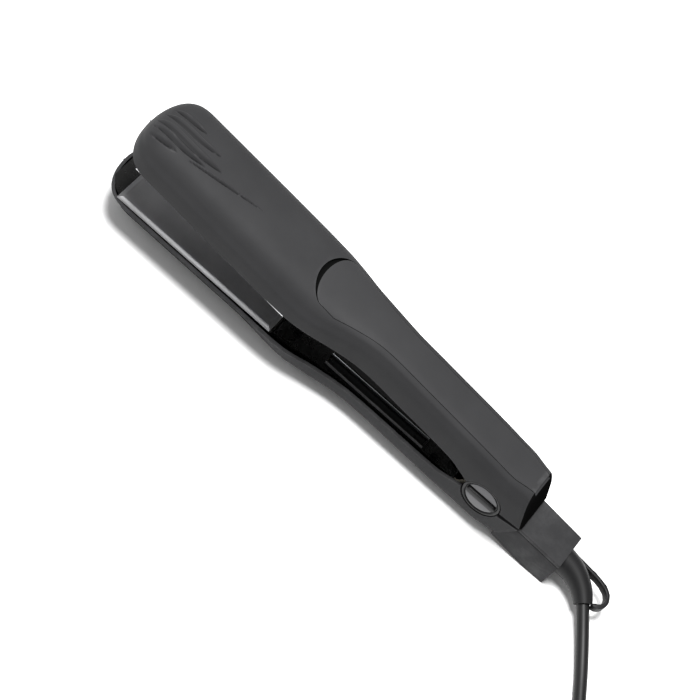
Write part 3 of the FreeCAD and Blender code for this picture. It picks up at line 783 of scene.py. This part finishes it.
def makeCordBlock(c):
    bm = bmesh.new()
    seam = c["lid"] + c["seam"]
    outline = [(x, z - seam) for x, z in c["top"]] + c["base"]
    sideForm(bm, outline, -1, 1)
    taperSides(bm.verts)
    bmesh.ops.bevel(bm, geom=bm.edges[:], offset=0.35 * mm, affect="EDGES", segments=3, profile=0.5, material=-1)
    base = addPiece("cord_block_shell", bm, "lower_arm", finish["housing"], ["cord_block_base"])
    bm = bmesh.new()
    block(bm, (114.5, -8.6, 6.4), (143.5, 8.6, 30))
    cutWith(base, [asTool(bm)])
    bm = bmesh.new()
    outline = c["top"] + [(x, z - c["lid"]) for x, z in reversed(c["top"])]
    sideForm(bm, outline, -1, 1)
    taperSides(bm.verts)
    bmesh.ops.bevel(bm, geom=bm.edges[:], offset=0.3 * mm, affect="EDGES", segments=3, profile=0.5, material=-1)
    addPiece("cord_block_cap", bm, "lower_arm", finish["housing"], ["cord_block_lid"])


makeCordBlock(cordBlock)
print("cord block made")


relief = {
    "start": 147.0,
    "bend": 28.0,
    "turn": 50.0,
    "height": 12.5,
    "drop": 3.0,
    "radii": (7.4, 4.8),
    "rings": 30,
    "loop": [(147.0, 8.2), (158.0, 7.4), (169.8, 6.2), (174.6, 4.0), (177.4, 0.4), (178.2, -3.6), (176.8, -7.6),
             (172.6, -9.8), (171.0, -7.9), (174.6, -6.2), (176.0, -3.2), (175.4, -0.2), (173.4, 2.4), (169.4, 4.2),
             (158.0, 5.6), (147.0, 6.4)],
    "loopBand": (8.4, 13.2),
}


def makeRelief(c):
    bm = bmesh.new()
    ring = bmesh.ops.create_circle(bm, cap_ends=True, segments=40, radius=mm)["verts"]
    edges = list({e for v in ring for e in v.link_edges})
    centreLine = []
    for step in range(c["rings"] + 1):
        share = step / c["rings"]
        turn = math.radians(c["turn"] * share)
        centreLine.append((share, Vector((c["start"] + c["bend"] * math.sin(turn), -c["bend"] * (1 - math.cos(turn)),
                                          c["height"] - c["drop"] * share ** 2)) * mm,
                           Vector((math.cos(turn), -math.sin(turn),
                                   -2 * c["drop"] * share / (c["bend"] * math.radians(c["turn"]))))))
    unit = [v.co.copy() / mm for v in ring]
    current = ring
    for number, (share, point, heading) in enumerate(centreLine):
        turnTo = heading.to_track_quat("Z", "Y").to_matrix()
        radius = (c["radii"][0] + (c["radii"][1] - c["radii"][0]) * share) * mm
        if number:
            grown = bmesh.ops.extrude_edge_only(bm, edges=edges)["geom"]
            edges = [g for g in grown if isinstance(g, bmesh.types.BMEdge)
                     and all(v in [x for x in grown if isinstance(x, bmesh.types.BMVert)] for v in g.verts)]
            following = []
            for v in current:
                nextVert = next(e.other_vert(v) for e in v.link_edges if e.other_vert(v) in grown)
                following.append(nextVert)
            current = following
        for v, spot in zip(current, unit):
            v.co = point + turnTo @ (spot * radius)
    bmesh.ops.edgenet_fill(bm, edges=edges)
    rod(bm, (142.0, 0, c["height"]), (147.3, 0, c["height"]), 5.8, 40)
    addPiece("lead_sleeve", bm, "lower_arm", finish["relief"], ["cord_relief"], 50)
    bm = bmesh.new()
    line = rounded([(x, y, 0) for x, y in c["loop"]], 4)
    planForm(bm, [(p.x, p.y) for p in line], *c["loopBand"])
    flat = [f for f in bm.faces if abs(f.normal.z) > 0.9]
    rim = list({e for f in flat for e in f.edges})
    bmesh.ops.bevel(bm, geom=rim, offset=0.4 * mm, affect="EDGES", segments=3, profile=0.5, material=-1)
    addPiece("hanging_loop", bm, "lower_arm", finish["relief"])


makeRelief(relief)
print("lead sleeve made")


plug = {
    "at": (297.0, -0.5, 19.6),
    "heading": math.degrees(math.atan2(-2.5, -15.0)),
    "sections": [(0.0, 3.9, 3.9), (3.0, 4.4, 4.4), (12.0, 6.1, 6.1), (14.0, 9.6, 6.5), (17.0, 11.3, 6.9),
                 (24.0, 10.2, 6.6), (30.0, 11.2, 6.9), (32.4, 11.3, 6.9), (33.0, 10.6, 6.3)],
    "pinAside": 6.35,
    "pinEnd": 50.0,
}


def makePlug(c):
    turn = Matrix.Translation(Vector(c["at"]) * mm) @ Matrix.Rotation(math.radians(c["heading"]), 4, "Z")
    bm = bmesh.new()
    ring = bmesh.ops.create_circle(bm, cap_ends=True, segments=48, radius=1)["verts"]
    edges = list({e for v in ring for e in v.link_edges})
    angles = [math.atan2(v.co.y, v.co.x) for v in ring]
    current = ring
    for number, (x, wide, high) in enumerate(c["sections"]):
        if number:
            grown = bmesh.ops.extrude_edge_only(bm, edges=edges)["geom"]
            following = [next(e.other_vert(v) for e in v.link_edges if e.other_vert(v) in grown) for v in current]
            edges = [g for g in grown if isinstance(g, bmesh.types.BMEdge) and all(v in following for v in g.verts)]
            current = following
        power = 1.0 if x < 12.5 else 0.62
        for v, a in zip(current, angles):
            y = math.copysign(abs(math.cos(a)) ** power, math.cos(a)) * wide
            z = math.copysign(abs(math.sin(a)) ** power, math.sin(a)) * high
            v.co = turn @ (Vector((x, y, z)) * mm)
    bmesh.ops.edgenet_fill(bm, edges=edges)
    body = addPiece("plug_grip", bm, "lower_arm", finish["rubber"], ["plug_body"], 45)
    bm = bmesh.new()
    for side in (-1, 1):
        block(bm, (28.0, side * c["pinAside"] - 0.75, -3.2), (c["pinEnd"], side * c["pinAside"] + 0.75, 3.2))
    bmesh.ops.bevel(bm, geom=[e for e in bm.edges if middleOf(e).x > (c["pinEnd"] - 1) * mm
                              and abs(e.verts[0].co.y - e.verts[1].co.y) > mm], offset=1.2 * mm, affect="EDGES",
                    segments=4, profile=0.5, material=-1)
    bmesh.ops.bevel(bm, geom=bm.edges[:], offset=0.18 * mm, affect="EDGES", segments=2, profile=0.5, material=-1)
    bmesh.ops.transform(bm, matrix=turn, verts=bm.verts)
    blades = addPiece("plug_pins", bm, "lower_arm", finish["brass"], ["plug_blades"])
    return body, blades


plugPieces = makePlug(plug)
print("plug made")


# the hinge knob: a spun disc with a dish, a raised bar and two lens-shaped pads
knob = {
    "centre": (96.0, 26.0),
    "profile": [(0.0, -13.7), (9.3, -13.7), (9.5, -14.2), (9.9, -14.55), (10.5, -14.6), (10.9, -14.35), (11.0, -13.9),
                (11.0, -12.1), (10.8, -12.0), (0.0, -12.0)],
    "farProfile": [(0.0, 13.9), (8.9, 13.9), (9.2, 14.3), (9.6, 14.6), (10.5, 14.6), (10.9, 14.3), (11.0, 13.9),
                   (11.0, 12.1), (10.8, 12.0), (0.0, 12.0)],
    "bar": ((-8.9, 8.9), (-1.9, 1.9), (-15.5, -13.2)),
    "padRadius": 8.9,
    "padFrom": 2.9,
}


def spun(bm, profile, centreX, centreZ, steps=96):
    verts = [bm.verts.new(Vector((centreX + r, y, centreZ)) * mm) for r, y in profile]
    edges = [bm.edges.new(pair) for pair in zip(verts, verts[1:])]
    bmesh.ops.spin(bm, geom=verts + edges, cent=Vector((centreX, 0, centreZ)) * mm, axis=(0, 1, 0), dvec=(0, 0, 0),
                   angle=math.radians(360), steps=steps, use_merge=True, use_duplicate=False)
    bmesh.ops.remove_doubles(bm, verts=bm.verts, dist=0.005 * mm)


def makeKnob(c):
    x, z = c["centre"]
    bm = bmesh.new()
    spun(bm, c["profile"], x, z)
    addPiece("knob_disc", bm, "lock", finish["knob"], ["lock_knob"])
    (x0, x1), (z0, z1), (y0, y1) = c["bar"]
    bm = bmesh.new()
    block(bm, (x + x0, y0, z + z0), (x + x1, y1, z + z1))
    bmesh.ops.bevel(bm, geom=[e for e in bm.edges if abs(e.verts[0].co.y - e.verts[1].co.y) > 0.1 * mm],
                    offset=1.7 * mm, affect="EDGES", segments=6, profile=0.5, material=-1)
    bmesh.ops.bevel(bm, geom=[e for e in bm.edges if middleOf(e).y < (y0 + 0.01) * mm],
                    offset=0.5 * mm, affect="EDGES", segments=3, profile=0.5, material=-1)
    addPiece("knob_bar", bm, "lock", finish["knob"])
    bm = bmesh.new()
    for side in (-1, 1):
        rod(bm, (x, -13.65, z), (x, -14.35, z), c["padRadius"], 96)
        part = [v for v in bm.verts if not v.tag]
        geom = part + list({e for v in part for e in v.link_edges}) + list({f for v in part for f in v.link_faces})
        cut = bmesh.ops.bisect_plane(bm, geom=geom, plane_co=Vector((x, 0, z + side * c["padFrom"])) * mm,
                                     plane_no=(0, 0, side), clear_inner=True)
        rim = [g for g in cut["geom_cut"] if isinstance(g, bmesh.types.BMEdge)]
        bmesh.ops.edgenet_fill(bm, edges=rim)
        for v in bm.verts:
            v.tag = True
    face = [e for e in bm.edges if middleOf(e).y < -14.34 * mm]
    bmesh.ops.bevel(bm, geom=face, offset=0.3 * mm, affect="EDGES", segments=3, profile=0.5, material=-1)
    addPiece("knob_pads", bm, "lock", finish["pad"], ["lock_knob_pads"])
    bm = bmesh.new()
    spun(bm, c["farProfile"], x, z)
    addPiece("far_hinge_cap", bm, "lower_arm", finish["knob"], ["hinge_cap"])


makeKnob(knob)
print("knob made")


plateForm = {"x": (-135.0, -35.0), "half": 22.5, "gap": 0.15, "thick": 1.6, "slope": (2.0, 0.8),
             "rail": (14.6, 16.2, 6.0)}


def makePlate(which):
    c = plateForm
    bm = bmesh.new()
    x0, x1 = c["x"]
    block(bm, (x0, -c["half"], c["gap"]), (x1, c["half"], c["gap"] + c["thick"]))
    contact = min(bm.faces, key=lambda f: f.calc_center_median().z)
    outer = [v.co.copy() for v in contact.verts]
    bmesh.ops.inset_region(bm, faces=[contact], thickness=c["slope"][0] * mm, use_even_offset=True)
    for v in bm.verts:
        if any((v.co - spot).length < 0.01 * mm for spot in outer):
            v.co.z += c["slope"][1] * mm
    bmesh.ops.bevel(bm, geom=bm.edges[:], offset=0.15 * mm, affect="EDGES", segments=2, profile=0.5, material=-1)
    y0, y1, tall = c["rail"]
    for side in (-1, 1):
        low, high = sorted((side * y0, side * y1))
        block(bm, (x0 + 8, low, c["gap"] + c["thick"] - 0.02), (x1 - 8, high, c["gap"] + c["thick"] + tall), 0.15)
    for v in bm.verts:
        v.co = place(which, v.co.x / mm, v.co.y / mm, v.co.z / mm)
    return addPiece(which + "_hot_plate", bm, which + "_plate_carrier", finish["plate"],
                    [which + "_plate"])


for which in ("lower", "upper"):
    makePlate(which)
print("plates made")


# two raised ribs along the lower inner cover, coloured bright steel and pale grey as painted highlights on the rib
# edges
coverRibs = {"x": (-5.0, 58.5), "z": (18.4, 19.9),
             "lines": {"bright_highlight_rib": (4.0, 0.36, "steel", "steel"), "pale_highlight_rib": (10.2, 0.3, "pad", "housing")}}


def makeCoverRibs(c):
    for name, (y, half, kind, slot) in c["lines"].items():
        bm = bmesh.new()
        for side in (-1, 1):
            block(bm, (c["x"][0], side * y - half, c["z"][0]), (c["x"][1], side * y + half, c["z"][1]), 0.12)
        addPiece(name, bm, "lower_arm", finish[kind])


makeCoverRibs(coverRibs)


button = {
    "foot": ((19.5, -2.6, 6.2), (29.5, 2.6, 8.3)),
    "stem": ((22.0, -1.7, 2.5), (27.0, 1.7, 7.2)),
    "ribs": (4, 22.3, 1.25),      # how many, the first one's place, the pitch
    "window": [(0.0, 2.75), (0.9, 2.85), (1.5, 3.1), (1.8, 3.6), (1.8, 7.0), (2.6, 7.0), (2.6, 8.0), (0.0, 8.0)],
}


def makeSwitch(c):
    bm = bmesh.new()
    block(bm, *c["foot"], 0.2)
    block(bm, *c["stem"], 0.25)
    count, first, pitch = c["ribs"]
    for i in range(count):
        x = first + pitch * i
        block(bm, (x, -1.6, 2.15), (x + 0.6, 1.6, 2.8), 0.12)
    addPiece("switch_button", bm, "switch", finish["knob"], ["switch_slider"])
    bm = bmesh.new()
    middle = switchCut["light"]
    verts = [bm.verts.new(Vector((middle + r, 0, z)) * mm) for r, z in c["window"]]
    edges = [bm.edges.new(pair) for pair in zip(verts, verts[1:])]
    bmesh.ops.spin(bm, geom=verts + edges, cent=Vector((middle, 0, 0)) * mm, axis=(0, 0, 1), dvec=(0, 0, 0),
                   angle=math.radians(360), steps=40, use_merge=True, use_duplicate=False)
    bmesh.ops.remove_doubles(bm, verts=bm.verts, dist=0.005 * mm)
    addPiece("light_window", bm, "lower_arm", finish["lens"], ["light_lens"])


makeSwitch(button)
print("switch made")


# finishes for the model's own parts
carried = {
    "cover": ["lower_inner_cover", "upper_inner_cover", "lower_plate_frame", "upper_plate_frame", "switch_body",
              "cord_clamp"],
    "blackSteel": ["lower_cover_screws", "upper_cover_screws"],
    "steel": ["lower_heater_clip", "upper_heater_clip", "hinge_pin",
              "lock_cam", "opening_spring", "lower_thermal_fuse", "upper_thermal_fuse"],
    "ceramic": ["lower_heater", "upper_heater"],
    "film": ["lower_insulation_film", "upper_insulation_film"],
    "silicone": ["lower_plate_cushions", "upper_plate_cushions"],
    "wire": ["power_leads", "upper_leads"],
    "board": ["light_board"],
}
for kind, names in carried.items():
    for name in names:
        slots = nodes[name].material_slots
        if not slots:
            nodes[name].data.materials.append(finish[kind])
        for one in slots:
            one.material = finish[kind]
print("model's own parts finished")


# floor and light
studio = {
    "floor": 3.0,
    "world": 0.4,
    # each lamp's place in metres, its size and its power
    "lamps": {"top": ((-0.15, -0.05, 1.5), 0.6, 41.0),
              "back": ((-0.7, 1.3, 0.9), 0.8, 3.0),
              "side": ((-1.2, -0.5, 0.9), 0.7, 2.5)},
}


def makeStudio(c):
    bm = bmesh.new()
    bmesh.ops.create_grid(bm, x_segments=1, y_segments=1, size=c["floor"])
    mesh = bpy.data.meshes.new("floor")
    bm.to_mesh(mesh)
    bm.free()
    floor = bpy.data.objects.new("floor", mesh)
    scene.collection.objects.link(floor)
    material, tree, shader, place = startMaterial("paleMattBoard", Roughness=0.75)
    tone = addNode(tree, "ShaderNodeTexNoise", {"Scale": 3.0}, {"Vector": place})
    tree.links.new(ramp(tree, tone.outputs["Fac"], ((0.3, "#f4f4f4"), (0.7, "#f7f7f7"))), shader.inputs["Base Color"])
    mesh.materials.append(material)
    world = bpy.data.worlds.new("studio")
    world.use_nodes = True
    world.node_tree.nodes["Background"].inputs["Color"].default_value = (1, 1, 1, 1)
    world.node_tree.nodes["Background"].inputs["Strength"].default_value = c["world"]
    scene.world = world
    scene.view_settings.view_transform = "Standard"
    for name, (spot, size, power) in c["lamps"].items():
        data = bpy.data.lights.new(name, "AREA")
        data.shape = "DISK"
        data.size = size
        data.energy = power
        lamp = bpy.data.objects.new(name, data)
        lamp.location = spot
        lamp.rotation_euler = (Vector((-0.02, 0, 0.03)) - Vector(spot)).to_track_quat("-Z", "Y").to_euler()
        scene.collection.objects.link(lamp)


makeStudio(studio)
print("floor and lights set")
